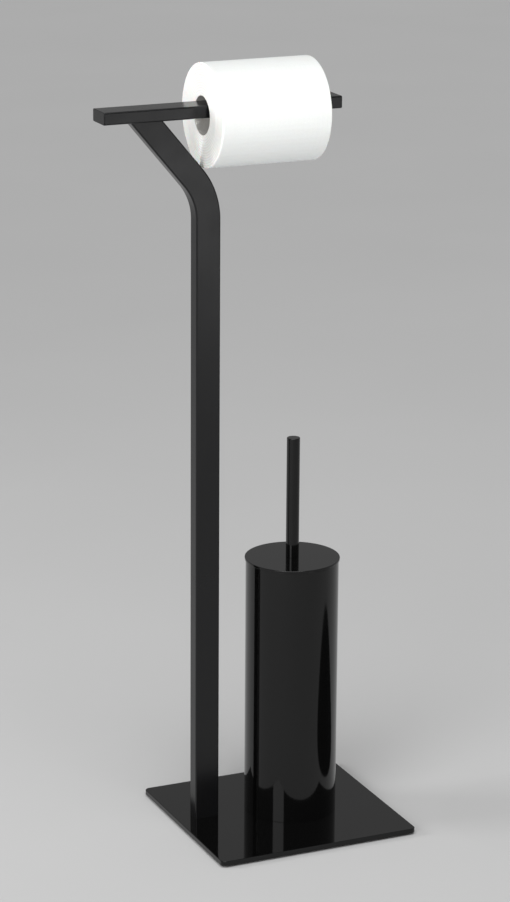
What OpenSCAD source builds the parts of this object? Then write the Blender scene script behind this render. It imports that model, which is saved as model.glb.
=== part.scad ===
// Free-standing toilet paper holder with a toilet brush set.
// Frame: origin on the floor under the middle of the base plate, +Z up,
// +X along the roll bar towards its free end, +Y towards the back. Millimetres.

/* [Base] */
// Width of the base plate, along X
plate_w = 210; // [200:1:240]
// Depth of the base plate, along Y
plate_d = 200; // [180:1:240]
// Thickness of the base plate
plate_t = 5; // [4:0.5:8]
// Corner radius of the base plate
plate_r = 5; // [2:0.5:12]
// Thickness of the rubber mat under the base plate
mat_t = 2; // [1.5:0.5:3]
// How far the mat's edge stays inside the plate's edge
mat_inset = 4; // [2:1:10]

/* [Post] */
// Width of the post's section, along X
post_w = 25; // [22:0.5:30]
// Depth of the post's section, along Y
post_d = 15; // [14:0.5:20]
// Wall thickness of the post and of the bar
tube_wall = 1.5; // [1.2:0.1:2]
// Middle of the post, along X
post_x = -75; // [-80:1:-70]
// Middle of the post and of the bar, along Y
post_y = 14; // [0:1:30]
// Height at which the post starts to bend
bend_start = 616; // [600:1:620]
// How far the arm leans over from the vertical, in degrees
arm_lean = 40; // [38:1:46]
// Radius of the post's bend at its centre line
bend_r = 65; // [50:1:80]

/* [Roll bar] */
// Height of the bar's top face above the floor
bar_top = 727; // [720:1:760]
// Height of the bar's section
bar_h = 12; // [10:0.5:13]
// Depth of the bar's section, along Y
bar_d = 28; // [24:0.5:30]
// Left end of the bar, along X
bar_left = -183; // [-200:1:-170]
// Free right end of the bar, along X
bar_right = 60; // [50:1:80]

/* [Toilet roll] */
// Length of the toilet roll
roll_len = 112; // [95:1:115]
// Outer diameter of the toilet roll
roll_dia = 100; // [70:1:100]
// Bore of the cardboard core
core_bore = 37; // [36:0.5:45]
// Wall of the cardboard core
core_wall = 1; // [0.6:0.1:1.5]
// Left end face of the roll, along X
roll_left = -79; // [-79:1:-60]

/* [Brush container] */
// Middle of the container, along X
can_x = 14; // [5:1:25]
// Middle of the container, along Y
can_y = 3; // [-10:1:10]
// Outer diameter of the container
can_dia = 92; // [90:1:100]
// Height of the container
can_h = 262; // [250:1:265]
// Wall of the container
can_wall = 1.2; // [1:0.1:1.5]
// Height of the disc that locates the container
disc_t = 5; // [4:0.5:6]

/* [Brush] */
// Diameter of the lid
lid_dia = 94; // [93:0.5:104]
// Thickness of the lid
lid_t = 2.5; // [2:0.5:4]
// Diameter of the handle
handle_dia = 13; // [12:0.5:16]
// Length of the handle above the lid
handle_len = 122; // [100:1:124]
// Diameter of the bristle head
head_dia = 74; // [60:1:80]
// Length of the bristle head
head_len = 84; // [70:1:100]

/* [Hidden] */
$fn = 96;
fit_gap = 0.05;      // radial gap of parts that fit inside one another
loose_gap = 0.5;     // radial gap of parts that lift in and out
edge_r = 1.5;        // rounding of the tubes' long edges
plate_top = mat_t + plate_t;

// Post
post_in_w = post_w - 2 * tube_wall;
post_in_d = post_d - 2 * tube_wall;
bar_bottom = bar_top - bar_h;
block_h = 20;        // threaded block in the foot of the post

// Countersunk screws, M5 with a 90 degree head
screw_r = 2.5;
screw_head_r = 5;
post_screw_len = 16;
disc_screw_len = 9;
post_screw_pitch = 13;
screw_spots = [[post_x - post_screw_pitch / 2, post_y, post_screw_len],
               [post_x + post_screw_pitch / 2, post_y, post_screw_len],
               [can_x, can_y, disc_screw_len]];

// Toilet roll: the core hangs on the two top edges of the bar
hang_gap = 0.3;
core_z = bar_top - sqrt(pow(core_bore / 2 - hang_gap, 2) - pow(bar_d / 2, 2));

// Container and liner
can_in_r = can_dia / 2 - can_wall;
can_floor_z = plate_top + disc_t + 1;
can_floor_t = 1.5;
can_rim = plate_top + can_h;
liner_r = can_in_r - loose_gap;
liner_wall = 1.5;
liner_taper = 1.5;
liner_foot = can_floor_z + can_floor_t;
liner_rim = can_rim - 3;
liner_corner = 6;

// Brush
lid_top = can_rim + lid_t;
handle_wall = 1;
handle_in_r = handle_dia / 2 - handle_wall;
cap_t = 2;
cap_spigot = 8;
bush_h = 25;
rod_r = 4;           // M8 rod
rod_top = lid_top + bush_h;
collar_r = liner_r - liner_wall - loose_gap;
collar_wall = 3;
collar_h = 6;
nut_flats = 13;
nut_h = 6.5;
head_foot = liner_foot + liner_wall + 3.5;
head_round = 14;     // rounding at the ends of the bristle head
core_r = 11;
core_foot = head_foot + 16;
neck_r = 8;
neck_h = 14;
core_top = head_foot + head_len + 4;
rod_foot = core_foot + 12;

// ---- Shapes that repeat ----

// Rectangle with round corners, centred on the origin
module round_rect(w, d, r) {
    square([w - 2 * r, d], center = true);
    square([w, d - 2 * r], center = true);
    for (x = [-1, 1], y = [-1, 1])
        translate([x * (w / 2 - r), y * (d / 2 - r)]) circle(r);
}

// A section carried up the post from foot, round the bend and along the arm to top
module along_post(foot, top) {
    arm_foot_z = bend_start + bend_r * sin(arm_lean);
    arm_len = (top - arm_foot_z) / cos(arm_lean) + post_w;
    translate([post_x, post_y, foot]) linear_extrude(bend_start - foot) children();
    difference() {
        translate([post_x - bend_r, post_y, bend_start]) rotate([90, 0, 0]) {
            rotate_extrude(angle = arm_lean) translate([bend_r, 0]) children();
            rotate([0, 0, arm_lean]) translate([bend_r, 0, 0]) rotate([-90, 0, 0])
                linear_extrude(arm_len) children();
        }
        translate([bar_left, post_y - post_d, top])
            cube([bar_right - bar_left, 2 * post_d, 2 * post_w]);
    }
}

// A straight length of the bar's section, from x0 to x1
module bar_section(x0, x1, shrink = 0) {
    translate([x0, post_y, bar_top - bar_h / 2]) rotate([90, 0, 90])
        linear_extrude(x1 - x0)
            round_rect(bar_d - 2 * shrink, bar_h - 2 * shrink, edge_r * (shrink > 0 ? 0.4 : 1));
}

// Flat plate with round corners and a hole at every screw
module drilled_plate(w, d, r, z, t, hole_r) {
    difference() {
        translate([0, 0, z]) linear_extrude(t) round_rect(w, d, r);
        for (s = screw_spots)
            translate([s[0], s[1], z - 1]) cylinder(r = hole_r, h = t + 2);
    }
}

// Countersunk screw whose head is flush with z = 0
module countersunk_screw(len) {
    head_h = screw_head_r - screw_r;
    cylinder(r1 = screw_head_r, r2 = screw_r - fit_gap, h = head_h + fit_gap);
    cylinder(r = screw_r - fit_gap, h = len);
}

module tube(r_out, r_in, z, h) {
    translate([0, 0, z]) difference() {
        cylinder(r = r_out, h = h);
        translate([0, 0, -1]) cylinder(r = r_in, h = h + 2);
    }
}

module at_can() { translate([can_x, can_y, 0]) children(); }
module at_roll() { translate([roll_left, post_y, core_z]) rotate([0, 90, 0]) children(); }

// ---- Stand ----

// Thin rubber sheet; its holes clear the screw heads
module anti_slip_mat() {
    color("#2b2b2d") drilled_plate(plate_w - 2 * mat_inset, plate_d - 2 * mat_inset,
                                   plate_r, 0, mat_t, screw_head_r + 1);
}

module base_plate() {
    sink_r = screw_head_r + 0.2;
    hole_r = screw_r + 0.2;
    color("#1b1c1d") difference() {
        drilled_plate(plate_w, plate_d, plate_r, mat_t, plate_t, hole_r);
        for (s = screw_spots) translate([s[0], s[1], mat_t - fit_gap])
            cylinder(r1 = sink_r + fit_gap, r2 = hole_r, h = sink_r - hole_r + fit_gap);
    }
}

// Rectangular tube, bent over near its top and cut level under the bar
module post_tube() {
    color("#1b1c1d") difference() {
        along_post(plate_top, bar_bottom) round_rect(post_w, post_d, edge_r);
        along_post(plate_top - 1, bar_bottom + 1) square([post_in_w, post_in_d], center = true);
    }
}

// Steel block welded inside the foot of the post, tapped for the two screws
module post_foot_block() {
    color("silver") difference() {
        translate([post_x - post_in_w / 2, post_y - post_in_d / 2, plate_top])
            cube([post_in_w, post_in_d, block_h]);
        for (i = [0, 1]) translate([screw_spots[i][0], screw_spots[i][1], plate_top - 1])
            cylinder(r = screw_r, h = block_h + 2);
    }
}

module post_screws() {
    color("silver") for (i = [0, 1])
        translate([screw_spots[i][0], screw_spots[i][1], mat_t])
            countersunk_screw(screw_spots[i][2]);
}

module roll_bar() {
    color("#1b1c1d") difference() {
        bar_section(bar_left + tube_wall, bar_right - tube_wall);
        bar_section(bar_left, bar_right, tube_wall);
    }
}

module bar_left_end() { color("#1b1c1d") bar_section(bar_left, bar_left + tube_wall); }
module bar_right_end() { color("#1b1c1d") bar_section(bar_right - tube_wall, bar_right); }

// Low disc on the plate that the container's foot drops over
module locating_disc() {
    color("#202020") at_can() tube(can_in_r - loose_gap, screw_r, plate_top, disc_t);
}

module disc_screw() {
    color("silver") at_can() translate([0, 0, mat_t]) countersunk_screw(disc_screw_len);
}

// ---- Brush container ----

module container_tube() {
    color("#1b1c1d") at_can() tube(can_dia / 2, can_in_r, plate_top, can_h);
}

module container_floor() {
    color("#1b1c1d") at_can() translate([0, 0, can_floor_z])
        cylinder(r = can_in_r - fit_gap, h = can_floor_t);
}

// Half section of a cup with a round corner at its foot
module cup_section(r_foot, r_top, z_foot, z_top, corner) {
    polygon(concat([[0, z_foot], [r_foot - corner, z_foot]],
        [for (a = [-75 : 15 : -15]) [r_foot - corner + corner * cos(a),
                                     z_foot + corner + corner * sin(a)]],
        [[r_foot, z_foot + corner], [r_top, z_top], [0, z_top]]));
}

module liner_cup() {
    color("#26272a") at_can() rotate_extrude() difference() {
        cup_section(liner_r - liner_taper, liner_r, liner_foot, liner_rim, liner_corner);
        cup_section(liner_r - liner_taper - liner_wall, liner_r - liner_wall,
                    liner_foot + liner_wall, liner_rim + 1, liner_corner - liner_wall);
    }
}

// ---- Brush ----

module lid_disc() {
    color("#1b1c1d") at_can() tube(lid_dia / 2, rod_r + fit_gap, can_rim, lid_t);
}

// Ring under the lid that centres it in the mouth of the liner
module lid_collar() {
    color("#26272a") at_can() tube(collar_r, collar_r - collar_wall, can_rim - collar_h, collar_h);
}

module lid_nut() {
    color("silver") at_can() translate([0, 0, can_rim - nut_h]) difference() {
        cylinder(d = nut_flats / cos(30), h = nut_h, $fn = 6);
        translate([0, 0, -1]) cylinder(r = rod_r + fit_gap, h = nut_h + 2);
    }
}

module brush_rod() {
    color("silver") at_can() translate([0, 0, rod_foot]) cylinder(r = rod_r, h = rod_top - rod_foot);
}

// Threaded bush pressed into the foot of the handle
module handle_bush() {
    color("silver") at_can() tube(handle_in_r - fit_gap, rod_r + fit_gap, lid_top, bush_h);
}

module handle_tube() {
    color("#1b1c1d") at_can() tube(handle_dia / 2, handle_in_r, lid_top, handle_len - cap_t);
}

module handle_cap() {
    chamfer = 0.6;
    color("#1b1c1d") at_can() translate([0, 0, lid_top + handle_len - cap_t]) {
        cylinder(d = handle_dia, h = cap_t - chamfer);
        translate([0, 0, cap_t - chamfer])
            cylinder(d1 = handle_dia, d2 = handle_dia - 2 * chamfer, h = chamfer);
        translate([0, 0, -cap_spigot]) cylinder(r = handle_in_r - fit_gap, h = cap_spigot);
    }
}

// Moulded core that holds the tufts; the rod screws into its neck
module brush_core() {
    color("#202020") at_can() difference() {
        union() {
            translate([0, 0, core_foot]) cylinder(r = core_r, h = core_top - core_foot);
            translate([0, 0, core_top]) cylinder(r = neck_r, h = neck_h);
        }
        translate([0, 0, rod_foot]) cylinder(r = rod_r + fit_gap, h = core_top + neck_h);
    }
}

// Outer shape of the bristles, with round ends, closed over the core's foot
module bristles() {
    r = head_dia / 2;
    top = head_foot + head_len;
    color("#d8d8d4") at_can() difference() {
        rotate_extrude() polygon(concat([[0, head_foot]],
            [for (a = [-90 : 15 : 0]) [r - head_round + head_round * cos(a),
                                       head_foot + head_round + head_round * sin(a)]],
            [for (a = [0 : 15 : 90]) [r - head_round + head_round * cos(a),
                                      top - head_round + head_round * sin(a)]],
            [[0, top]]));
        translate([0, 0, core_foot]) cylinder(r = core_r + fit_gap, h = head_len + 10);
    }
}

// ---- Toilet roll ----

module roll_core() {
    color("#b9a88c") at_roll() tube(core_bore / 2 + core_wall, core_bore / 2, 0, roll_len);
}

module paper_roll() {
    color("#f7f7f5") at_roll()
        tube(roll_dia / 2, core_bore / 2 + core_wall + fit_gap, 0, roll_len);
}

anti_slip_mat();
base_plate();
post_tube();
post_foot_block();
post_screws();
roll_bar();
bar_left_end();
bar_right_end();
locating_disc();
disc_screw();
container_tube();
container_floor();
liner_cup();
lid_disc();
lid_collar();
lid_nut();
brush_rod();
handle_bush();
handle_tube();
handle_cap();
brush_core();
bristles();
roll_core();
paper_roll();
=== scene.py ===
"""Free-standing toilet paper holder with a toilet brush set, black lacquered steel. Metres, Z up."""

import math
import random
from contextlib import contextmanager

import bmesh
import bpy
from mathutils import Matrix, Vector


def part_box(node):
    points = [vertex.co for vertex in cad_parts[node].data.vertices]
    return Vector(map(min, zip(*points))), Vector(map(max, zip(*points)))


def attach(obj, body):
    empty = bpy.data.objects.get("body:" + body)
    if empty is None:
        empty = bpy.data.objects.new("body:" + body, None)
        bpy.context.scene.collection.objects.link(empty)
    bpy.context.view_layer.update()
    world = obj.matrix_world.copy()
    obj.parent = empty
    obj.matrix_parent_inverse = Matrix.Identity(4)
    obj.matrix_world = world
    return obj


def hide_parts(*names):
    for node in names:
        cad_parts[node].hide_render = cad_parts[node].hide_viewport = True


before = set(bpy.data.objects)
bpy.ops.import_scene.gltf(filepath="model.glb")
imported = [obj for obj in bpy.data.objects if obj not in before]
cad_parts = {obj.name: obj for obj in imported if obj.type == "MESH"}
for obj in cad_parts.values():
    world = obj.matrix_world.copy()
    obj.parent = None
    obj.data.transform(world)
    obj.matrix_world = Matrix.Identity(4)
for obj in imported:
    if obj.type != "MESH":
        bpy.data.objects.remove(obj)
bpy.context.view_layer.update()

MM = 0.001
CLOSE = 0.01 * MM     # two places nearer than this are the same place
PAST = 1 * MM         # how far a cutter reaches beyond the face that it opens
FIT = 0.05 * MM       # gap round a part that fits inside another

# Sizes that the CAD nodes' boxes don't give
EDGE_ROUND = 1.5 * MM         # long edges of the rectangular tubes
TUBE_WALL = 1.5 * MM
PLATE_CORNER = 5 * MM
POST_X = -75 * MM
POST_WIDTH = 25 * MM
POST_DEPTH = 15 * MM
BEND_START = 616 * MM         # height where the post starts to bend
BEND_RADIUS = 65 * MM         # of the post's centre line
ARM_LEAN = math.radians(40)   # from the vertical
SCREW_RADIUS = 2.5 * MM
SCREW_HEAD_RADIUS = 5 * MM
SCREW_PLAY = 0.2 * MM         # round a screw in the plate
SCREW_OFFSET = 6.5 * MM       # from the post's middle to each of its screws
SOCKET_RADIUS = 1.7 * MM      # of the hexagon in a screw's head, to its corners
SOCKET_DEPTH = 2 * MM
CONTAINER_WALL = 1.2 * MM
LINER_WALL = 1.5 * MM
LINER_TAPER = 1.5 * MM        # how much narrower the cup is at its foot, on each side
LINER_CORNER = 6 * MM
COLLAR_WALL = 3 * MM
HANDLE_WALL = 1 * MM
ROD_RADIUS = 4 * MM
ROD_BORE = ROD_RADIUS + FIT
NECK_LENGTH = 14 * MM         # of the brush core, above its shoulder
NECK_STEP = 3 * MM            # width of that shoulder
HEAD_ROUND = 14 * MM          # rounding at the ends of the bristle head
CORE_BORE_RADIUS = 18.5 * MM  # inside of the cardboard tube
CORE_WALL = 1 * MM
PAPER_ROUND = 1.6 * MM        # rounding of the roll's outer edges

SMOOTH_ANGLE = math.radians(32)   # faces that meet more sharply than this keep their edge


# ---- Places, read from the CAD nodes ----

def middle(node):
    """The middle of a CAD node's box."""
    low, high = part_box(node)
    return (low + high) / 2


def upright(node):
    """Radius, foot and top of a round CAD node that stands upright."""
    low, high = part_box(node)
    return (high.x - low.x) / 2, low.z, high.z


POST = Vector((POST_X, middle("roll_bar").y, 0))
CONTAINER = Vector((middle("container_tube").x, middle("container_tube").y, 0))
SCREW_PLACES = [
    POST - Vector((SCREW_OFFSET, 0, 0)),
    POST + Vector((SCREW_OFFSET, 0, 0)),
    CONTAINER,
]


# ---- Modelling helpers ----

def only(piece):
    """Makes piece the one selected and active object."""
    bpy.ops.object.select_all(action="DESELECT")
    piece.select_set(True)
    bpy.context.view_layer.objects.active = piece


def settle():
    """Puts the active object's place, turn and scale into its mesh."""
    bpy.ops.object.transform_apply(location=True, rotation=True, scale=True)
    return bpy.context.object


@contextmanager
def edit_mode():
    """Edit mode on the active object, for as long as the block lasts."""
    bpy.ops.object.mode_set(mode="EDIT")
    yield
    bpy.ops.object.mode_set(mode="OBJECT")


def block(low, high):
    """A box between two corners."""
    bpy.ops.object.select_all(action="DESELECT")
    bpy.ops.mesh.primitive_cube_add(size=1, location=(low + high) / 2, scale=high - low)
    return settle()


def drum(radius, low, high, centre=CONTAINER, sides=96, caps="NGON"):
    """An upright cylinder between two heights."""
    bpy.ops.object.select_all(action="DESELECT")
    bpy.ops.mesh.primitive_cylinder_add(
        vertices=sides, radius=radius, depth=high - low, end_fill_type=caps,
        location=(centre.x, centre.y, (low + high) / 2))
    return settle()


def cone(foot_radius, top_radius, low, high, centre=CONTAINER, sides=96):
    """An upright cone, cut off at its top, between two heights."""
    bpy.ops.object.select_all(action="DESELECT")
    bpy.ops.mesh.primitive_cone_add(
        vertices=sides, radius1=foot_radius, radius2=top_radius, depth=high - low,
        location=(centre.x, centre.y, (low + high) / 2))
    return settle()


def section(width, depth, place, rotation=(0, 0, 0)):
    """A flat rectangle with round corners, to be drawn out into a tube."""
    bpy.ops.object.select_all(action="DESELECT")
    bpy.ops.mesh.primitive_plane_add(size=1, location=place, rotation=rotation)
    bpy.context.object.scale = (width, depth, 1)
    made = settle()
    with edit_mode():
        bpy.ops.mesh.select_all(action="SELECT")
        bpy.ops.mesh.bevel(offset=EDGE_ROUND, segments=6, affect="VERTICES")
    return made


def pick(kind, test):
    """In edit mode, selects just the verts, edges or faces that pass a test."""
    bpy.ops.mesh.select_mode(type={"verts": "VERT", "edges": "EDGE", "faces": "FACE"}[kind])
    bpy.ops.mesh.select_all(action="DESELECT")
    mesh = bmesh.from_edit_mesh(bpy.context.object.data)
    for item in getattr(mesh, kind):
        if test(item):
            item.select_set(True)
    bmesh.update_edit_mesh(bpy.context.object.data)


def lies_at(place, axis=2):
    """A test for faces and edges that lie wholly at one height, or at one place along another axis."""
    return lambda item: all(abs(v.co[axis] - place) < CLOSE for v in item.verts)


def extrude(reach):
    """In edit mode, draws out what is selected."""
    bpy.ops.mesh.extrude_region_move(TRANSFORM_OT_translate={"value": reach})


def soften(places, width, segments=3, axis=2):
    """Rounds the edges that run round a piece at the given heights, or places along another axis."""
    with edit_mode():
        for place in places:
            pick("edges", lies_at(place, axis))
            bpy.ops.mesh.bevel(offset=width, segments=segments, affect="EDGES")


def open_ends(places, axis=2):
    """Removes the flat faces that close a tube at the given heights, or places along another axis."""
    with edit_mode():
        for place in places:
            pick("faces", lies_at(place, axis))
            bpy.ops.mesh.delete(type="FACE")


def modify(kind, **settings):
    """Adds a modifier to the active object, sets it and applies it."""
    modifier = bpy.context.object.modifiers.new(kind.title(), kind)
    for key, value in settings.items():
        setattr(modifier, key, value)
    bpy.ops.object.modifier_apply(modifier=modifier.name)


def wall(thickness):
    """Gives an open shell a wall that grows inwards."""
    modify("SOLIDIFY", thickness=thickness, offset=-1, use_even_offset=True)


def pipe(node, thickness, sides=96):
    """An upright round tube, the size of a CAD node."""
    radius, foot, top = upright(node)
    tube = drum(radius, foot, top, sides=sides, caps="NOTHING")
    wall(thickness)
    return tube


def cut_away(piece, cutter):
    """Takes the cutter's shape out of a piece."""
    only(piece)
    modify("BOOLEAN", object=cutter, operation="DIFFERENCE", solver="EXACT")
    bpy.data.objects.remove(cutter)


def bore(piece, radius, low, high, centre=CONTAINER, sides=32):
    """Drills an upright hole right through a piece that lies between two heights."""
    cut_away(piece, drum(radius, low - PAST, high + PAST, centre, sides))


def joined(pieces):
    """Joins pieces into the first of them."""
    only(pieces[0])
    for piece in pieces:
        piece.select_set(True)
    bpy.ops.object.join()
    return bpy.context.object


def hand_over(piece, name, body, finish, node):
    """Names and shades a finished piece, gives it its material and body, and hides its CAD node."""
    only(piece)
    piece.name = name
    piece.data.name = name
    bpy.ops.object.shade_smooth_by_angle(angle=SMOOTH_ANGLE)
    modify("WEIGHTED_NORMAL", keep_sharp=True, weight=80)
    piece.data.materials.clear()
    piece.data.materials.append(finish)
    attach(piece, body)
    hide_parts(node)


# ---- Material helpers ----

def linear(hex_colour):
    """An sRGB hex colour as the linear RGBA that the shaders take."""
    channels = [int(hex_colour[i:i + 2], 16) / 255 for i in (1, 3, 5)]
    return [c / 12.92 if c <= 0.04045 else ((c + 0.055) / 1.055) ** 2.4 for c in channels] + [1]


def new_material(name):
    """An empty material; returns it with its nodes."""
    material = bpy.data.materials.new(name)
    material.use_nodes = True
    material.node_tree.nodes.clear()
    return material, material.node_tree.nodes


def add(nodes, kind, inputs, **settings):
    """Adds a node with its settings; each input takes a value or the output that feeds it."""
    made = nodes.new(kind)
    for key, value in settings.items():
        setattr(made, key, value)
    for socket, value in inputs.items():
        if isinstance(value, bpy.types.NodeSocket):
            nodes.id_data.links.new(value, made.inputs[socket])
        else:
            made.inputs[socket].default_value = value
    return made


def per(size):
    """The pattern scale that repeats once in each size, in metres."""
    return 1 / size


def bands(size):
    """The wave texture's scale for one band in each size; at scale 1 a band is pi / 10 wide."""
    return per(size) * math.pi / 10


def from_roll_axis(nodes):
    """A point's Object coordinates, the same from the roll's middle, and its angle round the bar."""
    roll = middle("roll_core")
    place = add(nodes, "ShaderNodeTexCoord", {}).outputs["Object"]
    centred = add(nodes, "ShaderNodeMapping",
                  {"Vector": place, "Location": (-roll.x, -roll.y, -roll.z)})
    parts = add(nodes, "ShaderNodeSeparateXYZ", {"Vector": centred.outputs["Vector"]})
    angle = add(nodes, "ShaderNodeMath", {0: parts.outputs["Y"], 1: parts.outputs["Z"]},
                operation="ARCTAN2")
    return place, parts, angle


# ---- Materials ----

def baked_lacquer(name, colour, smooth, worn):
    """Black baked lacquer on steel: a deep, level gloss with faint orange peel and a breath of dust."""
    material, nodes = new_material(name)
    place = add(nodes, "ShaderNodeTexCoord", {}).outputs["Object"]
    # Orange peel: shallow waves about 3 mm across that blur what the gloss mirrors
    peel = add(nodes, "ShaderNodeTexNoise",
               {"Vector": place, "Scale": per(3 * MM), "Detail": 1.0, "Roughness": 0.4})
    # Cloudy haze from handling, a hand's breadth across
    haze = add(nodes, "ShaderNodeTexNoise",
               {"Vector": place, "Scale": per(60 * MM), "Detail": 3.0, "Roughness": 0.6})
    roughness = add(nodes, "ShaderNodeMapRange",
                    {"Value": haze.outputs["Fac"], "From Min": 0.3, "From Max": 0.7,
                     "To Min": smooth, "To Max": worn})
    # Dust specks, scattered about 6 mm apart and drawn 0.8 mm across so that they show
    speck = add(nodes, "ShaderNodeTexVoronoi",
                {"Vector": place, "Scale": per(6 * MM), "Randomness": 1.0})
    dust = add(nodes, "ShaderNodeMapRange",
               {"Value": speck.outputs["Distance"], "From Min": 0.05, "From Max": 0.09,
                "To Min": 0.35, "To Max": 0.0})
    tint = add(nodes, "ShaderNodeMix",
               {0: dust.outputs["Result"], 6: linear(colour), 7: linear("#26272a")},
               data_type="RGBA")
    bump = add(nodes, "ShaderNodeBump",
               {"Height": peel.outputs["Fac"], "Strength": 0.12, "Distance": 0.02 * MM})
    shader = add(nodes, "ShaderNodeBsdfPrincipled",
                 {"Base Color": tint.outputs[2], "Roughness": roughness.outputs["Result"],
                  "IOR": 1.4, "Normal": bump.outputs["Normal"]})
    add(nodes, "ShaderNodeOutputMaterial", {"Surface": shader.outputs["BSDF"]})
    return material


def ribbed_rubber():
    """Black anti-slip rubber sheet: dull, with slanting pressed ribs 3 mm apart."""
    material, nodes = new_material("Ribbed rubber sheet")
    place = add(nodes, "ShaderNodeTexCoord", {}).outputs["Object"]
    # On a level sheet, slanting bands lie 1.4 times as far apart as straight ones
    ribs = add(nodes, "ShaderNodeTexWave", {"Vector": place, "Scale": bands(2 * MM)},
               wave_type="BANDS", bands_direction="DIAGONAL")
    grain = add(nodes, "ShaderNodeTexNoise", {"Vector": place, "Scale": per(0.8 * MM), "Detail": 2.0})
    tint = add(nodes, "ShaderNodeMix",
               {0: grain.outputs["Fac"], 6: linear("#161617"), 7: linear("#29292b")},
               data_type="RGBA")
    bump = add(nodes, "ShaderNodeBump",
               {"Height": ribs.outputs["Fac"], "Strength": 0.6, "Distance": 0.4 * MM})
    shader = add(nodes, "ShaderNodeBsdfPrincipled",
                 {"Base Color": tint.outputs[2], "Roughness": 0.85, "IOR": 1.52,
                  "Normal": bump.outputs["Normal"]})
    add(nodes, "ShaderNodeOutputMaterial", {"Surface": shader.outputs["BSDF"]})
    return material


def milled_steel():
    """Plain milled steel: grey, with fine level tool marks that stretch the light."""
    material, nodes = new_material("Milled mild steel")
    place = add(nodes, "ShaderNodeTexCoord", {}).outputs["Object"]
    # Squeezed along Z, so that the marks run level
    stretched = add(nodes, "ShaderNodeMapping", {"Vector": place, "Scale": (1, 1, 12)})
    marks = add(nodes, "ShaderNodeTexNoise",
                {"Vector": stretched.outputs["Vector"], "Scale": per(1.5 * MM), "Detail": 4.0})
    roughness = add(nodes, "ShaderNodeMapRange",
                    {"Value": marks.outputs["Fac"], "To Min": 0.28, "To Max": 0.5})
    bump = add(nodes, "ShaderNodeBump",
               {"Height": marks.outputs["Fac"], "Strength": 0.2, "Distance": 0.03 * MM})
    shader = add(nodes, "ShaderNodeBsdfPrincipled",
                 {"Base Color": linear("#a8a8a6"), "Metallic": 1.0,
                  "Roughness": roughness.outputs["Result"], "Normal": bump.outputs["Normal"]})
    add(nodes, "ShaderNodeOutputMaterial", {"Surface": shader.outputs["BSDF"]})
    return material


def zinc_plate():
    """Zinc-plated steel: pale and bluish, with a faint crystal bloom."""
    material, nodes = new_material("Zinc-plated steel")
    place = add(nodes, "ShaderNodeTexCoord", {}).outputs["Object"]
    # Crystals about 1.2 mm across, each a little lighter or darker
    bloom = add(nodes, "ShaderNodeTexVoronoi", {"Vector": place, "Scale": per(1.2 * MM)})
    tint = add(nodes, "ShaderNodeMix",
               {0: bloom.outputs["Distance"], 6: linear("#c9cdd2"), 7: linear("#a9b0b8")},
               data_type="RGBA")
    roughness = add(nodes, "ShaderNodeMapRange",
                    {"Value": bloom.outputs["Distance"], "To Min": 0.25, "To Max": 0.42})
    shader = add(nodes, "ShaderNodeBsdfPrincipled",
                 {"Base Color": tint.outputs[2], "Metallic": 1.0,
                  "Roughness": roughness.outputs["Result"]})
    add(nodes, "ShaderNodeOutputMaterial", {"Surface": shader.outputs["BSDF"]})
    return material


def threaded_zinc():
    """Zinc-plated threaded rod: rings 1.25 mm apart, the pitch of an M8 thread, with painted shade in
    the grooves and a painted highlight on the crests.
    """
    material, nodes = new_material("Zinc-plated threaded rod")
    place = add(nodes, "ShaderNodeTexCoord", {}).outputs["Object"]
    thread = add(nodes, "ShaderNodeTexWave",
                 {"Vector": place, "Scale": bands(1.25 * MM)},
                 wave_type="BANDS", bands_direction="Z", wave_profile="TRI")
    # Painted shade and highlight: the colour darkens in the thread's grooves and lightens on its crests
    tint = add(nodes, "ShaderNodeMix",
               {0: thread.outputs["Fac"], 6: linear("#7d8288"), 7: linear("#c9cdd2")},
               data_type="RGBA")
    bump = add(nodes, "ShaderNodeBump",
               {"Height": thread.outputs["Fac"], "Strength": 0.9, "Distance": 0.5 * MM})
    shader = add(nodes, "ShaderNodeBsdfPrincipled",
                 {"Base Color": tint.outputs[2], "Metallic": 1.0, "Roughness": 0.32,
                  "Normal": bump.outputs["Normal"]})
    add(nodes, "ShaderNodeOutputMaterial", {"Surface": shader.outputs["BSDF"]})
    return material


def turned_brass():
    """Turned brass, unlacquered: warm yellow with fine rings from the lathe."""
    material, nodes = new_material("Turned brass")
    place = add(nodes, "ShaderNodeTexCoord", {}).outputs["Object"]
    rings = add(nodes, "ShaderNodeTexWave",
                {"Vector": place, "Scale": bands(0.6 * MM), "Distortion": 0.5},
                wave_type="BANDS", bands_direction="Z")
    roughness = add(nodes, "ShaderNodeMapRange",
                    {"Value": rings.outputs["Fac"], "To Min": 0.22, "To Max": 0.36})
    shader = add(nodes, "ShaderNodeBsdfPrincipled",
                 {"Base Color": linear("#c9a75c"), "Metallic": 1.0,
                  "Roughness": roughness.outputs["Result"]})
    add(nodes, "ShaderNodeOutputMaterial", {"Surface": shader.outputs["BSDF"]})
    return material


def moulded_plastic(name, dark, light, roughness):
    """Moulded polypropylene: waxy and even, with a fine spark-eroded grain."""
    material, nodes = new_material(name)
    place = add(nodes, "ShaderNodeTexCoord", {}).outputs["Object"]
    # The mould's grain is near 0.3 mm; it is drawn at 0.7 mm so that it shows
    grain = add(nodes, "ShaderNodeTexNoise",
                {"Vector": place, "Scale": per(0.7 * MM), "Detail": 2.0, "Roughness": 0.6})
    flow = add(nodes, "ShaderNodeTexNoise", {"Vector": place, "Scale": per(35 * MM), "Detail": 2.0})
    tint = add(nodes, "ShaderNodeMix",
               {0: flow.outputs["Fac"], 6: linear(dark), 7: linear(light)},
               data_type="RGBA")
    bump = add(nodes, "ShaderNodeBump",
               {"Height": grain.outputs["Fac"], "Strength": 0.35, "Distance": 0.05 * MM})
    shader = add(nodes, "ShaderNodeBsdfPrincipled",
                 {"Base Color": tint.outputs[2], "Roughness": roughness, "IOR": 1.49,
                  "Normal": bump.outputs["Normal"]})
    add(nodes, "ShaderNodeOutputMaterial", {"Surface": shader.outputs["BSDF"]})
    return material


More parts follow.
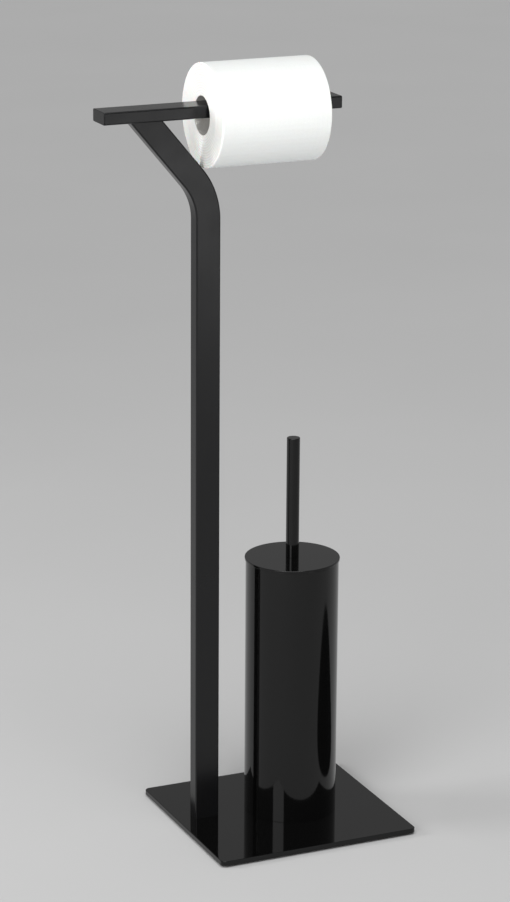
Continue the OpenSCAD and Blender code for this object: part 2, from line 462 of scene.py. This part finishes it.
def nylon_filament():
    """White nylon filament: milky and soft, with painted shade that darkens it towards its root."""
    material, nodes = new_material("White nylon filament")
    place = add(nodes, "ShaderNodeTexCoord", {}).outputs["Object"]
    centred = add(nodes, "ShaderNodeMapping",
                  {"Vector": place, "Location": (-CONTAINER.x, -CONTAINER.y, 0)})
    parts = add(nodes, "ShaderNodeSeparateXYZ", {"Vector": centred.outputs["Vector"]})
    flat = add(nodes, "ShaderNodeCombineXYZ", {"X": parts.outputs["X"], "Y": parts.outputs["Y"]})
    radius = add(nodes, "ShaderNodeVectorMath", {0: flat.outputs["Vector"]}, operation="LENGTH")
    # Painted shade between the tufts: darker from their tips at 36 mm down to the core at 11 mm
    depth = add(nodes, "ShaderNodeMapRange",
                {"Value": radius.outputs["Value"], "From Min": 11 * MM, "From Max": 36 * MM})
    strand = add(nodes, "ShaderNodeTexNoise", {"Vector": place, "Scale": per(2 * MM), "Detail": 1.0})
    deep = add(nodes, "ShaderNodeMix",
               {0: depth.outputs["Result"], 6: linear("#77776f"), 7: linear("#f1f0ec")},
               data_type="RGBA")
    tint = add(nodes, "ShaderNodeMix",
               {0: strand.outputs["Fac"], 6: deep.outputs[2], 7: linear("#dcdcd8")},
               data_type="RGBA")
    shader = add(nodes, "ShaderNodeBsdfPrincipled",
                 {"Base Color": tint.outputs[2], "Roughness": 0.45, "IOR": 1.53,
                  "Subsurface Weight": 0.1, "Subsurface Scale": 1 * MM})
    add(nodes, "ShaderNodeOutputMaterial", {"Surface": shader.outputs["BSDF"]})
    return material


def spiral_board():
    """Spiral-wound grey board: matt, flecked with fibres, with the wound strip's seam."""
    material, nodes = new_material("Spiral-wound grey board")
    place, parts, angle = from_roll_axis(nodes)
    turns = add(nodes, "ShaderNodeMath", {0: angle.outputs["Value"], 1: 1 / math.tau},
                operation="MULTIPLY")
    # The strip climbs 70 mm along the tube in each turn
    climb = add(nodes, "ShaderNodeMath",
                {0: parts.outputs["X"], 1: per(70 * MM), 2: turns.outputs["Value"]},
                operation="MULTIPLY_ADD")
    across = add(nodes, "ShaderNodeMath", {0: climb.outputs["Value"]}, operation="FRACT")
    seam = add(nodes, "ShaderNodeMapRange",
               {"Value": across.outputs["Value"], "From Min": 0.0, "From Max": 0.02,
                "To Min": 1.0, "To Max": 0.0})
    fibres = add(nodes, "ShaderNodeTexNoise",
                 {"Vector": place, "Scale": per(2 * MM), "Detail": 5.0, "Roughness": 0.7})
    board = add(nodes, "ShaderNodeMix",
                {0: fibres.outputs["Fac"], 6: linear("#cfccc6"), 7: linear("#efede8")},
                data_type="RGBA")
    tint = add(nodes, "ShaderNodeMix",
               {0: seam.outputs["Result"], 6: board.outputs[2], 7: linear("#a39e95")},
               data_type="RGBA")
    bump = add(nodes, "ShaderNodeBump",
               {"Height": fibres.outputs["Fac"], "Strength": 0.4, "Distance": 0.1 * MM})
    shader = add(nodes, "ShaderNodeBsdfPrincipled",
                 {"Base Color": tint.outputs[2], "Roughness": 0.92, "IOR": 1.4,
                  "Normal": bump.outputs["Normal"]})
    add(nodes, "ShaderNodeOutputMaterial", {"Surface": shader.outputs["BSDF"]})
    return material


def embossed_tissue():
    """Embossed two-ply tissue: soft white, with a pressed dot pattern, fine crepe, and painted shade
    between the windings on its ends.
    """
    material, nodes = new_material("Embossed white tissue")
    place, parts, angle = from_roll_axis(nodes)
    # Dots 5 mm apart: 62 of them go round the roll, two to each wave
    round_wave = add(nodes, "ShaderNodeMath", {0: angle.outputs["Value"], 1: 62 / 2},
                     operation="MULTIPLY")
    along_wave = add(nodes, "ShaderNodeMath", {0: parts.outputs["X"], 1: math.pi * per(5 * MM)},
                     operation="MULTIPLY")
    across = add(nodes, "ShaderNodeMath", {0: round_wave.outputs["Value"]}, operation="SINE")
    along = add(nodes, "ShaderNodeMath", {0: along_wave.outputs["Value"]}, operation="SINE")
    both = add(nodes, "ShaderNodeMath", {0: across.outputs["Value"], 1: along.outputs["Value"]},
               operation="MULTIPLY")
    dots = add(nodes, "ShaderNodeMath", {0: both.outputs["Value"]}, operation="ABSOLUTE")
    # Windings show on the ends as rings; real plies are 0.2 mm, drawn 2.4 mm apart so that they show
    flat = add(nodes, "ShaderNodeCombineXYZ", {"Y": parts.outputs["Y"], "Z": parts.outputs["Z"]})
    radius = add(nodes, "ShaderNodeVectorMath", {0: flat.outputs["Vector"]}, operation="LENGTH")
    ring_turn = add(nodes, "ShaderNodeMath", {0: radius.outputs["Value"], 1: math.tau * per(2.4 * MM)},
                    operation="MULTIPLY")
    rings = add(nodes, "ShaderNodeMath", {0: ring_turn.outputs["Value"]}, operation="SINE")
    crepe = add(nodes, "ShaderNodeTexNoise",
                {"Vector": place, "Scale": per(1.2 * MM), "Detail": 4.0, "Roughness": 0.7})
    # The outer face, beyond 49 mm, has the dots; the ends have the rings
    outer = add(nodes, "ShaderNodeMath", {0: radius.outputs["Value"], 1: 49 * MM},
                operation="GREATER_THAN")
    relief = add(nodes, "ShaderNodeMix",
                 {0: outer.outputs["Value"], 2: rings.outputs["Value"], 3: dots.outputs["Value"]})
    emboss = add(nodes, "ShaderNodeBump",
                 {"Height": relief.outputs[0], "Strength": 0.25, "Distance": 0.25 * MM})
    bump = add(nodes, "ShaderNodeBump",
               {"Height": crepe.outputs["Fac"], "Strength": 0.3, "Distance": 0.15 * MM,
                "Normal": emboss.outputs["Normal"]})
    paper_tone = add(nodes, "ShaderNodeMix",
                     {0: crepe.outputs["Fac"], 6: linear("#e4e4e1"), 7: linear("#efefec")},
                     data_type="RGBA")
    # Painted shade between the windings: the ends are painted a little darker there
    gap = add(nodes, "ShaderNodeMapRange",
              {"Value": relief.outputs[0], "From Min": -1.0, "From Max": 0.0,
               "To Min": 0.35, "To Max": 0.0})
    tint = add(nodes, "ShaderNodeMix",
               {0: gap.outputs["Result"], 6: paper_tone.outputs[2], 7: linear("#b9b9b4")},
               data_type="RGBA")
    shader = add(nodes, "ShaderNodeBsdfPrincipled",
                 {"Base Color": tint.outputs[2], "Roughness": 0.95, "IOR": 1.4,
                  "Sheen Weight": 0.08, "Subsurface Weight": 0.15, "Subsurface Scale": 2 * MM,
                  "Normal": bump.outputs["Normal"]})
    add(nodes, "ShaderNodeOutputMaterial", {"Surface": shader.outputs["BSDF"]})
    return material


def pale_floor():
    """Plain pale studio floor: matt paint with a very faint mottle."""
    material, nodes = new_material("Matt pale grey floor")
    place = add(nodes, "ShaderNodeTexCoord", {}).outputs["Object"]
    mottle = add(nodes, "ShaderNodeTexNoise", {"Vector": place, "Scale": per(400 * MM), "Detail": 2.0})
    tint = add(nodes, "ShaderNodeMix",
               {0: mottle.outputs["Fac"], 6: linear("#b1b1b1"), 7: linear("#b5b5b5")},
               data_type="RGBA")
    shader = add(nodes, "ShaderNodeBsdfPrincipled",
                 {"Base Color": tint.outputs[2], "Roughness": 0.9, "IOR": 1.4})
    add(nodes, "ShaderNodeOutputMaterial", {"Surface": shader.outputs["BSDF"]})
    return material


PLATE_LACQUER = baked_lacquer("Gloss black baked lacquer, plate", "#060606", 0.04, 0.08)
FRAME_LACQUER = baked_lacquer("Satin black baked lacquer, frame", "#0c0c0d", 0.2, 0.28)
CONTAINER_LACQUER = baked_lacquer("Gloss black baked lacquer, container", "#060606", 0.06, 0.1)
RUBBER = ribbed_rubber()
STEEL = milled_steel()
ZINC = zinc_plate()
ROD_ZINC = threaded_zinc()
BRASS = turned_brass()
BLACK_PLASTIC = moulded_plastic("Black moulded polypropylene", "#141415", "#1c1c1e", 0.42)
WHITE_PLASTIC = moulded_plastic("White moulded polypropylene", "#d9d9d5", "#e6e6e2", 0.4)
NYLON = nylon_filament()
BOARD = spiral_board()
TISSUE = embossed_tissue()


# ---- Stand ----

def rounded_sheet(node, edge):
    """A flat sheet with round corners and eased edges, the size of a CAD node."""
    low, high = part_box(node)
    sheet = block(low, high)
    with edit_mode():
        pick("edges", lambda e: abs(e.verts[0].co.z - e.verts[1].co.z) > CLOSE)
        bpy.ops.mesh.bevel(offset=PLATE_CORNER, segments=10, affect="EDGES")
    soften((low.z, high.z), edge)
    return sheet


def mat():
    """Rubber sheet under the plate, with holes that clear the screw heads by 1 mm all round."""
    low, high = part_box("anti_slip_mat")
    sheet = rounded_sheet("anti_slip_mat", 0.3 * MM)
    for place in SCREW_PLACES:
        bore(sheet, SCREW_HEAD_RADIUS + 1 * MM, low.z, high.z, place, 48)
    hand_over(sheet, "ribbed_mat", "stand", RUBBER, "anti_slip_mat")


def countersink(place, foot, top):
    """A cutter for one countersunk screw hole, wide at its foot."""
    hole = SCREW_RADIUS + SCREW_PLAY
    mouth = SCREW_HEAD_RADIUS + SCREW_PLAY
    neck = foot + mouth - hole
    cutter = cone(mouth, hole, foot, neck, place, 48)
    with edit_mode():
        for height, reach in ((foot, -PAST), (neck, top - neck + PAST)):
            pick("faces", lies_at(height))
            extrude((0, 0, reach))
    return cutter


def plate():
    """Base plate, countersunk from below for the three screws."""
    low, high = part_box("base_plate")
    sheet = rounded_sheet("base_plate", 0.5 * MM)
    for place in SCREW_PLACES:
        cut_away(sheet, countersink(place, low.z, high.z))
    hand_over(sheet, "lacquered_plate", "stand", PLATE_LACQUER, "base_plate")


def post():
    """Rectangular tube: up from the plate, round the bend, and cut level under the bar."""
    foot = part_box("post_tube")[0].z
    bar_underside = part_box("roll_bar")[0].z
    arm_length = (bar_underside - BEND_START) / math.cos(ARM_LEAN)
    arm = Vector((-math.sin(ARM_LEAN), 0, math.cos(ARM_LEAN))) * arm_length
    tube = section(POST_WIDTH, POST_DEPTH, (POST.x, POST.y, foot))
    with edit_mode():
        bpy.ops.mesh.select_all(action="SELECT")
        extrude((0, 0, BEND_START - foot))
        bpy.ops.mesh.spin(steps=20, angle=ARM_LEAN, axis=(0, 1, 0),
                          center=(POST.x - BEND_RADIUS, POST.y, BEND_START))
        extrude(arm)
        bpy.ops.mesh.delete(type="FACE")
    open_ends([foot])
    wall(TUBE_WALL)
    # The arm's square end is cut level, and the cut wall is closed between its two rims
    with edit_mode():
        bpy.ops.mesh.select_all(action="SELECT")
        bpy.ops.mesh.bisect(plane_co=(0, 0, bar_underside), plane_no=(0, 0, 1), clear_outer=True)
        bpy.ops.mesh.select_mode(type="EDGE")
        bpy.ops.mesh.select_all(action="DESELECT")
        bpy.ops.mesh.select_non_manifold()
        bpy.ops.mesh.bridge_edge_loops()
    hand_over(tube, "bent_post", "stand", FRAME_LACQUER, "post_tube")


def foot_block():
    """The tapped block in the post's foot keeps its CAD mesh and gets its steel."""
    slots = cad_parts["post_foot_block"].data.materials
    slots.clear()
    slots.append(STEEL)


def bar_length(node):
    """A closed length of the bar's section, the size of a CAD node."""
    low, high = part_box(node)
    centre = middle(node)
    length = section(high.z - low.z, high.y - low.y, (low.x, centre.y, centre.z),
                     rotation=(0, math.radians(90), 0))
    with edit_mode():
        bpy.ops.mesh.select_all(action="SELECT")
        extrude((high.x - low.x, 0, 0))
        bpy.ops.mesh.select_all(action="SELECT")
        bpy.ops.mesh.normals_make_consistent(inside=False)
    return length


def bar():
    """The flat tube that carries the roll."""
    low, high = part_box("roll_bar")
    tube = bar_length("roll_bar")
    open_ends((low.x, high.x), axis=0)
    wall(TUBE_WALL)
    hand_over(tube, "flat_bar", "stand", FRAME_LACQUER, "roll_bar")


def bar_end(node, name, outer_corner):
    """Plate welded over one end of the bar, eased on its outer face: corner 0 of its box, or 1."""
    cap = bar_length(node)
    soften([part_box(node)[outer_corner].x], 0.6 * MM, axis=0)
    hand_over(cap, name, "stand", FRAME_LACQUER, node)


def screw(place, head_face, tip):
    """Countersunk screw with a hexagon socket in its head, which faces down."""
    neck = head_face + SCREW_HEAD_RADIUS - SCREW_RADIUS
    body = cone(SCREW_HEAD_RADIUS, SCREW_RADIUS, head_face, neck, place, 48)
    with edit_mode():
        pick("faces", lies_at(neck))
        extrude((0, 0, tip - neck))
    soften([tip], 0.5 * MM, 1)
    cut_away(body, drum(SOCKET_RADIUS, head_face - PAST, head_face + SOCKET_DEPTH, place, 6))
    return body


def screws():
    """Two screws that hold the post, and one that holds the locating disc."""
    low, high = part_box("post_screws")
    pair = joined([screw(place, low.z, high.z) for place in SCREW_PLACES[:2]])
    hand_over(pair, "socket_screws", "stand", ZINC, "post_screws")
    low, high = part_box("disc_screw")
    single = screw(CONTAINER, low.z, high.z)
    hand_over(single, "socket_screw_for_disc", "stand", ZINC, "disc_screw")


def disc():
    """Low plastic disc that the container's foot drops over, with a lead-in chamfer."""
    radius, foot, top = upright("locating_disc")
    puck = drum(radius, foot, top)
    soften([top], 0.8 * MM, 2)
    bore(puck, SCREW_RADIUS, foot, top)
    hand_over(puck, "chamfered_disc", "stand", BLACK_PLASTIC, "locating_disc")


# ---- Brush container ----

def container():
    """Thin round tube with eased rims."""
    shell = pipe("container_tube", CONTAINER_WALL, 128)
    soften(upright("container_tube")[1:], 0.35 * MM, 2)
    hand_over(shell, "container_shell", "container", CONTAINER_LACQUER,
              "container_tube")


def container_foot():
    """Floor of the container, pressed from sheet, with a shallow dish 6 mm in from its edge."""
    radius, foot, top = upright("container_floor")
    sheet = drum(radius, foot, top)
    with edit_mode():
        pick("faces", lies_at(foot))
        bpy.ops.mesh.inset(thickness=6 * MM)
        bpy.ops.mesh.inset(thickness=1 * MM, depth=-0.5 * MM)
    soften([top], 0.3 * MM, 2)
    hand_over(sheet, "pressed_floor", "container", CONTAINER_LACQUER,
              "container_floor")


def liner():
    """Plastic cup that catches the drips, tapered so that it leaves its mould."""
    radius, foot, top = upright("liner_cup")
    cup = cone(radius - LINER_TAPER, radius, foot, top)
    open_ends([top])
    soften([foot], LINER_CORNER, 6)
    wall(LINER_WALL)
    soften([top], 0.4 * MM, 2)
    hand_over(cup, "drip_cup", "container", BLACK_PLASTIC, "liner_cup")


# ---- Brush ----

def lid():
    """Flat lid with an eased rim, bored for the rod."""
    radius, foot, top = upright("lid_disc")
    sheet = drum(radius, foot, top, sides=128)
    soften((foot, top), 0.5 * MM)
    bore(sheet, ROD_BORE, foot, top)
    hand_over(sheet, "flat_lid", "brush", CONTAINER_LACQUER, "lid_disc")


def collar():
    """Plastic ring that centres the lid in the cup's mouth, chamfered to lead in."""
    ring = pipe("lid_collar", COLLAR_WALL)
    soften([upright("lid_collar")[1]], 0.9 * MM, 2)
    hand_over(ring, "centring_ring", "brush", BLACK_PLASTIC, "lid_collar")


def nut():
    """Hexagon nut with chamfered edges, under the lid."""
    radius, foot, top = upright("lid_nut")
    hexagon = drum(radius, foot, top, sides=6)
    soften((foot, top), 0.5 * MM, 1)
    bore(hexagon, ROD_BORE, foot, top)
    hand_over(hexagon, "hexagon_nut", "brush", ZINC, "lid_nut")


def rod():
    """Threaded rod from the handle down into the brush core, chamfered at both ends."""
    _, foot, top = upright("brush_rod")
    bolt = drum(ROD_RADIUS, foot, top, sides=48)
    soften((foot, top), 0.6 * MM, 1)
    hand_over(bolt, "threaded_rod", "brush", ROD_ZINC, "brush_rod")


def bush():
    """Brass bush inside the handle's foot, which takes the rod, chamfered at both ends."""
    radius, foot, top = upright("handle_bush")
    sleeve = pipe("handle_bush", radius - ROD_BORE, 48)
    soften((foot, top), 0.3 * MM, 1)
    hand_over(sleeve, "brass_bush", "brush", BRASS, "handle_bush")


def handle():
    """Round tube handle with its foot eased where it meets the lid."""
    tube = pipe("handle_tube", HANDLE_WALL, 64)
    soften([upright("handle_tube")[1]], 0.25 * MM, 2)
    hand_over(tube, "round_handle", "brush", CONTAINER_LACQUER, "handle_tube")


def handle_end():
    """Cap on the handle: a rounded edge above, and a spigot that fits the tube."""
    radius, spigot_foot, top = upright("handle_cap")
    seat = upright("handle_tube")[2]
    cap = drum(radius, seat, top, sides=64)
    soften([top], 0.6 * MM, 4)
    with edit_mode():
        pick("faces", lies_at(seat))
        bpy.ops.mesh.inset(thickness=HANDLE_WALL + FIT)
        extrude((0, 0, spigot_foot - seat))
    hand_over(cap, "handle_top_cap", "brush", CONTAINER_LACQUER, "handle_cap")


def core():
    """Moulded core of the brush head, with a neck for the rod."""
    radius, foot, top = upright("brush_core")
    shoulder = top - NECK_LENGTH
    body = drum(radius, foot, shoulder, sides=64)
    with edit_mode():
        pick("faces", lies_at(shoulder))
        bpy.ops.mesh.inset(thickness=NECK_STEP)
        extrude((0, 0, NECK_LENGTH))
    soften((foot, top), 1 * MM)
    rod_foot = upright("brush_rod")[1]
    cut_away(body, drum(ROD_BORE, rod_foot, top + PAST, sides=32))
    hand_over(body, "moulded_core", "brush", WHITE_PLASTIC, "brush_core")


def tuft():
    """One tuft, a unit long along Z: filaments set in a spiral, spreading a little to their tips."""
    count = 11
    golden_turn = math.radians(137.5)
    root_spread = 1.1 * MM
    added_at_tip = 1.5 * MM
    filaments = []
    for i in range(count):
        filament = cone(0.4 * MM, 0.45 * MM, 0, 1, Vector((0, 0, 0)), 3)
        out = math.sqrt(i / (count - 1))
        lean = Vector((math.cos(i * golden_turn), math.sin(i * golden_turn), 0)) * out
        # The outer filaments are a little shorter, and no two in a row are of one length
        length = 1 - 0.05 * out - 0.02 * (i % 3)
        for vert in filament.data.vertices:
            vert.co += lean * (root_spread + added_at_tip * vert.co.z)
            vert.co.z *= length
        filaments.append(filament)
    return joined(filaments)


def head_surface(height, low, high, radius):
    """How far the head's outer surface is from its axis at a height."""
    from_end = min(height - low, high - height)
    if from_end >= HEAD_ROUND:
        return radius
    rise = HEAD_ROUND - from_end
    return radius - HEAD_ROUND + math.sqrt(HEAD_ROUND ** 2 - rise ** 2)


def tuft_places(low, high, radius):
    """Root and tip of every tuft, each as distance from the axis and height, with its angle."""
    core_radius, core_foot, _ = upright("brush_core")
    sunk = 1 * MM     # roots start this far inside the core
    rng = random.Random(7)
    places = []
    rings = 14
    tufts_in_ring = 24
    lowest_root, highest_root = core_foot + sunk, high - 3 * MM
    lowest_tip, highest_tip = low + 8 * MM, high - 4 * MM
    for ring in range(rings):
        part = (ring + 0.5) / rings
        root_z = lowest_root + part * (highest_root - lowest_root)
        tip_z = lowest_tip + part * (highest_tip - lowest_tip)
        tip_radius = head_surface(tip_z, low, high, radius)
        for i in range(tufts_in_ring):
            # Every second ring is turned by half a step
            turn = (i + 0.5 * (ring % 2)) / tufts_in_ring
            angle = math.tau * turn + rng.uniform(-0.03, 0.03)
            places.append((core_radius - sunk, root_z, tip_radius, tip_z, angle))
    # Below the core's foot the tufts fan out in three rings
    for count, root_radius, tip_part in ((5, 2.5 * MM, 0.2), (11, 6 * MM, 0.48), (16, 9 * MM, 0.76)):
        tip_radius = tip_part * (radius - 5 * MM)
        for i in range(count):
            angle = math.tau * i / count + rng.uniform(-0.06, 0.06)
            places.append((root_radius, core_foot + sunk, tip_radius, low + 0.5 * MM, angle))
    return places


def trim_to_head(head, low, high, radius):
    """Cuts the filaments back to the head's outer surface, as a barber would."""
    inside = 0.2 * MM
    for vert in head.data.vertices:
        flat = Vector((vert.co.x - CONTAINER.x, vert.co.y - CONTAINER.y))
        vert.co.z = min(max(vert.co.z, low + inside), high - inside)
        limit = head_surface(vert.co.z, low, high, radius)
        if flat.length > limit:
            flat *= limit / flat.length
            vert.co.x = CONTAINER.x + flat.x
            vert.co.y = CONTAINER.y + flat.y


def bristles():
    """Rings of tufts round the core, and a fan of tufts below its foot."""
    radius, low, high = upright("bristles")
    radius -= 0.3 * MM
    rng = random.Random(11)
    pattern = tuft()
    tufts = []
    for root_radius, root_z, tip_radius, tip_z, angle in tuft_places(low, high, radius):
        way = Vector((math.cos(angle), math.sin(angle), 0))
        root = CONTAINER + way * root_radius + Vector((0, 0, root_z))
        tip = CONTAINER + way * tip_radius + Vector((0, 0, tip_z))
        length = (tip - root).length * rng.uniform(0.95, 1.0)
        lie = (tip - root).to_track_quat("Z", "Y").to_matrix().to_4x4()
        twist = Matrix.Rotation(rng.uniform(0, math.tau), 4, "Z")
        stretch = Matrix.Diagonal((1, 1, length, 1))
        copy = pattern.copy()
        copy.data = pattern.data.copy()
        copy.data.transform(Matrix.Translation(root) @ lie @ twist @ stretch)
        bpy.context.collection.objects.link(copy)
        tufts.append(copy)
    bpy.data.objects.remove(pattern)
    head = joined(tufts)
    trim_to_head(head, low, high, radius)
    hand_over(head, "tufted_head", "brush", NYLON, "bristles")


# ---- Toilet roll ----

def along_bar(radius, low, high, sides):
    """An open cylinder along the bar, round the roll's axis."""
    axis = middle("roll_core")
    bpy.ops.object.select_all(action="DESELECT")
    bpy.ops.mesh.primitive_cylinder_add(
        vertices=sides, radius=radius, depth=high - low, end_fill_type="NOTHING",
        location=((low + high) / 2, axis.y, axis.z), rotation=(0, math.radians(90), 0))
    return settle()


def core_tube():
    """Cardboard tube inside the roll."""
    low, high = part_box("roll_core")
    outside = (high.y - low.y) / 2
    tube = along_bar(outside, low.x, high.x, 96)
    wall(outside - CORE_BORE_RADIUS)
    soften((low.x, high.x), 0.25 * MM, 2, axis=0)
    hand_over(tube, "cardboard_tube", "roll", BOARD, "roll_core")


def wind_ends(left, right, axis, inside, outside):
    """Cuts rings into both ends, pushes some in a little, and rounds the outer edges."""
    rng = random.Random(3)
    rings = 10
    step = (outside - inside) / (rings + 1)
    most_slip = 0.35 * MM

    def off_axis(vert):
        return math.hypot(vert.co.y - axis.y, vert.co.z - axis.z)

    def on_outer_edge(vert):
        return (abs(off_axis(vert) - outside) < 0.1 * MM
                and min(vert.co.x - left, right - vert.co.x) < CLOSE)

    with edit_mode():
        pick("edges", lambda e: abs(off_axis(e.verts[0]) - off_axis(e.verts[1])) > CLOSE)
        bpy.ops.mesh.subdivide(number_cuts=rings)
        for ring in range(1, rings + 1):
            near = inside + ring * step
            for end, inwards in ((left, 1), (right, -1)):
                pick("verts", lambda v: abs(v.co.x - end) < CLOSE and abs(off_axis(v) - near) < step / 4)
                bpy.ops.transform.translate(value=(inwards * rng.uniform(0, most_slip), 0, 0))
        pick("edges", lambda e: all(on_outer_edge(v) for v in e.verts))
        bpy.ops.mesh.bevel(offset=PAPER_ROUND, segments=5, affect="EDGES")


def lay_loose_end(roll, axis, outside):
    """Winds the outer face inwards by a few sheets' thickness, so that the last sheet ends in a step."""
    step = 0.6 * MM                   # thicker than one sheet, so that it shows
    step_angle = math.radians(-50)    # below the level, at the back
    skin = 3 * MM                     # how far in the windings move
    for vert in roll.data.vertices:
        y = vert.co.y - axis.y
        z = vert.co.z - axis.z
        reach = math.hypot(y, z)
        if reach < outside - skin:
            continue
        turn = (math.atan2(z, y) - step_angle) % math.tau / math.tau
        closer = (reach - step * (1 - turn)) / reach
        vert.co.y = axis.y + y * closer
        vert.co.z = axis.z + z * closer


def paper():
    """Wound tissue: soft edges, slightly stepped ends, and the loose end laid on its outside."""
    low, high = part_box("paper_roll")
    axis = middle("roll_core")
    outside = (high.y - low.y) / 2
    inside = CORE_BORE_RADIUS + CORE_WALL + FIT
    roll = along_bar(outside, low.x, high.x, 180)
    wall(outside - inside)
    wind_ends(low.x, high.x, axis, inside, outside)
    lay_loose_end(roll, axis, outside)
    hand_over(roll, "wound_tissue", "roll", TISSUE, "paper_roll")


# ---- Studio ----

VIEW_AZIMUTH = math.radians(-24.25)   # the camera stands to the left of the front
VIEW_ELEVATION = math.radians(16.55)
VIEW_RIGHT = Vector((math.cos(VIEW_AZIMUTH), math.sin(VIEW_AZIMUTH), 0))


def camera():
    """Camera in front, to the left and a little above, with a long lens."""
    tilt = math.radians(0.40)
    distance = 3.0275
    aim = Vector((-0.0284, 0, 0.3854))
    back = Vector((math.sin(VIEW_AZIMUTH) * math.cos(VIEW_ELEVATION),
                   -math.cos(VIEW_AZIMUTH) * math.cos(VIEW_ELEVATION), math.sin(VIEW_ELEVATION)))
    right = VIEW_RIGHT * math.cos(tilt) + back.cross(VIEW_RIGHT) * math.sin(tilt)
    up = back.cross(right)
    turned = Matrix((right, up, back)).transposed().to_4x4()
    bpy.ops.object.camera_add()
    eye = bpy.context.object
    eye.name = "camera"
    eye.matrix_world = Matrix.Translation(aim + back * distance) @ turned
    eye.data.lens = 124.66
    eye.data.sensor_width = 36
    eye.data.clip_end = 100
    bpy.context.scene.camera = eye


def floor():
    """Pale floor, 40 m square, so that no edge of it shows."""
    bpy.ops.object.select_all(action="DESELECT")
    bpy.ops.mesh.primitive_plane_add(size=40)
    ground = bpy.context.object
    ground.name = "floor"
    ground.data.materials.append(pale_floor())


def surround():
    """Grey surround, shown without a film curve so that white stays white."""
    bpy.context.scene.view_settings.view_transform = "Standard"
    world = bpy.data.worlds.new("Grey surround")
    world.use_nodes = True
    world.node_tree.nodes["Background"].inputs["Color"].default_value = linear("#989898")
    bpy.context.scene.world = world


def facing(way):
    """The turn that points a light's beam along a direction."""
    return Vector(way).to_track_quat("-Z", "Y").to_euler()


def soft_box(name, place, size, watts, aim=(0, 0, 0.4), spread=180, in_gloss=True):
    """A square soft box that faces a point, its spread in degrees; it may be hidden from the gloss."""
    bpy.ops.object.light_add(type="AREA", location=place)
    light = bpy.context.object
    light.name = name
    light.data.name = name
    light.data.shape = "SQUARE"
    light.data.size = size
    light.data.energy = watts
    light.data.spread = math.radians(spread)
    light.rotation_euler = facing(Vector(aim) - Vector(place))
    light.visible_camera = False
    light.visible_glossy = in_gloss


def silk():
    """Light through a wide silk overhead: one broad, soft sun."""
    bpy.ops.object.light_add(type="SUN", location=(-1, -2, 4))
    overhead = bpy.context.object
    overhead.name = "overhead_silk"
    overhead.data.energy = 2.2
    overhead.data.angle = math.radians(50)
    overhead.rotation_euler = facing((0.25, 0.5, -0.83))


def dark_card():
    """A black oval card on the floor, seen only in gloss: it puts a dark stripe in the container."""
    half_length = 0.27
    half_width = 0.15
    place = CONTAINER + VIEW_RIGHT * 0.42 + Vector((0, 0, 1 * MM))
    bpy.ops.object.select_all(action="DESELECT")
    bpy.ops.mesh.primitive_circle_add(
        vertices=48, radius=1, fill_type="NGON", location=place, rotation=(0, 0, VIEW_AZIMUTH))
    card = bpy.context.object
    card.scale = (half_length, half_width, 1)
    card.name = "dark_card"
    material, nodes = new_material("Black velvet card")
    # Velvet swallows the light: a nearly black, dull surface
    shader = add(nodes, "ShaderNodeBsdfPrincipled", {"Base Color": linear("#030303"), "Roughness": 1.0})
    add(nodes, "ShaderNodeOutputMaterial", {"Surface": shader.outputs["BSDF"]})
    card.data.materials.append(material)
    card.visible_camera = False
    card.visible_diffuse = False
    card.visible_shadow = False


def studio():
    """Floor, surround and soft lights."""
    floor()
    surround()
    soft_box("left_box", (-2.4, 0.9, 1.15), 0.8, 6.8, spread=80, in_gloss=False)
    soft_box("front_left_box", (-2.0, -1.5, 0.95), 1.2, 26, aim=(0, 0, 0.7))
    soft_box("top_box", (0.1, -0.6, 2.6), 1.0, 7)
    # A low bright card in front, which the bar and the upper post mirror as a satin sheen
    soft_box("front_card", (0.85, -2.1, 0.22), 0.5, 0.2, aim=(0, 0, 0.68), spread=70)
    # Lifts the roll's underside
    soft_box("low_fill", (-0.3, -2.0, 0.15), 0.5, 1.0, aim=(0.02, 0, 0.72), spread=40, in_gloss=False)
    dark_card()
    silk()


# ---- Build ----

camera()
mat()
plate()
post()
bar()
bar_end("bar_left_end", "bar_left_cap", 0)
bar_end("bar_right_end", "bar_right_cap", 1)
screws()
disc()
container()
container_foot()
liner()
lid()
collar()
nut()
rod()
bush()
handle()
handle_end()
core()
bristles()
core_tube()
paper()
foot_block()
studio()
